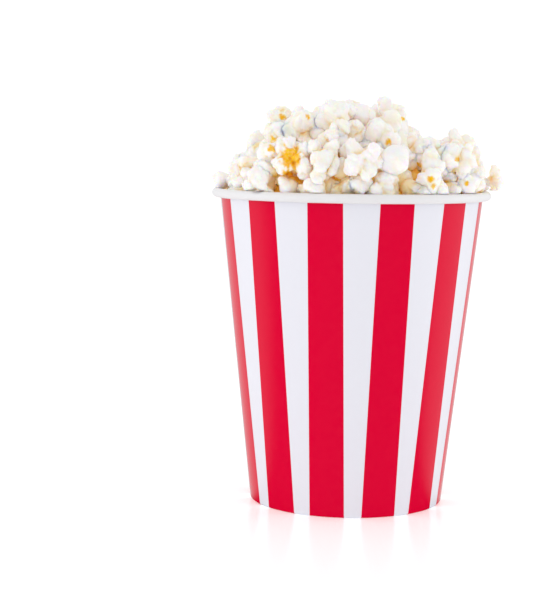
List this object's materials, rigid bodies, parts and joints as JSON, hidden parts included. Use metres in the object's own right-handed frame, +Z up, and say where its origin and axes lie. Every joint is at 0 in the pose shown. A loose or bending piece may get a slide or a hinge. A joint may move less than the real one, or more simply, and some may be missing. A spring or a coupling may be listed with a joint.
{
  "type": "bucket of popcorn",
  "caption": "Tapered paper bucket with vertical red and white stripes and a rolled rim, heaped with popped corn that stands well above the rim.",
  "frame": {"origin": "centre of the circle on which the bucket stands", "axes": "+Z up along the bucket's axis; -Y towards the viewer of the shown side, +X to that viewer's right"},
  "size_m": [0.138, 0.138, 0.1994],
  "materials": {
    "striped_board": "glossy coated paperboard, printed with vertical red and white stripes outside, plain white inside",
    "white_board": "plain white coated paperboard",
    "popped_corn": null
  },
  "bodies": {
    "root": {"bucket_wall": "striped_board", "bucket_base": "white_board", "popcorn": "popped_corn"}
  },
  "joints": []
}
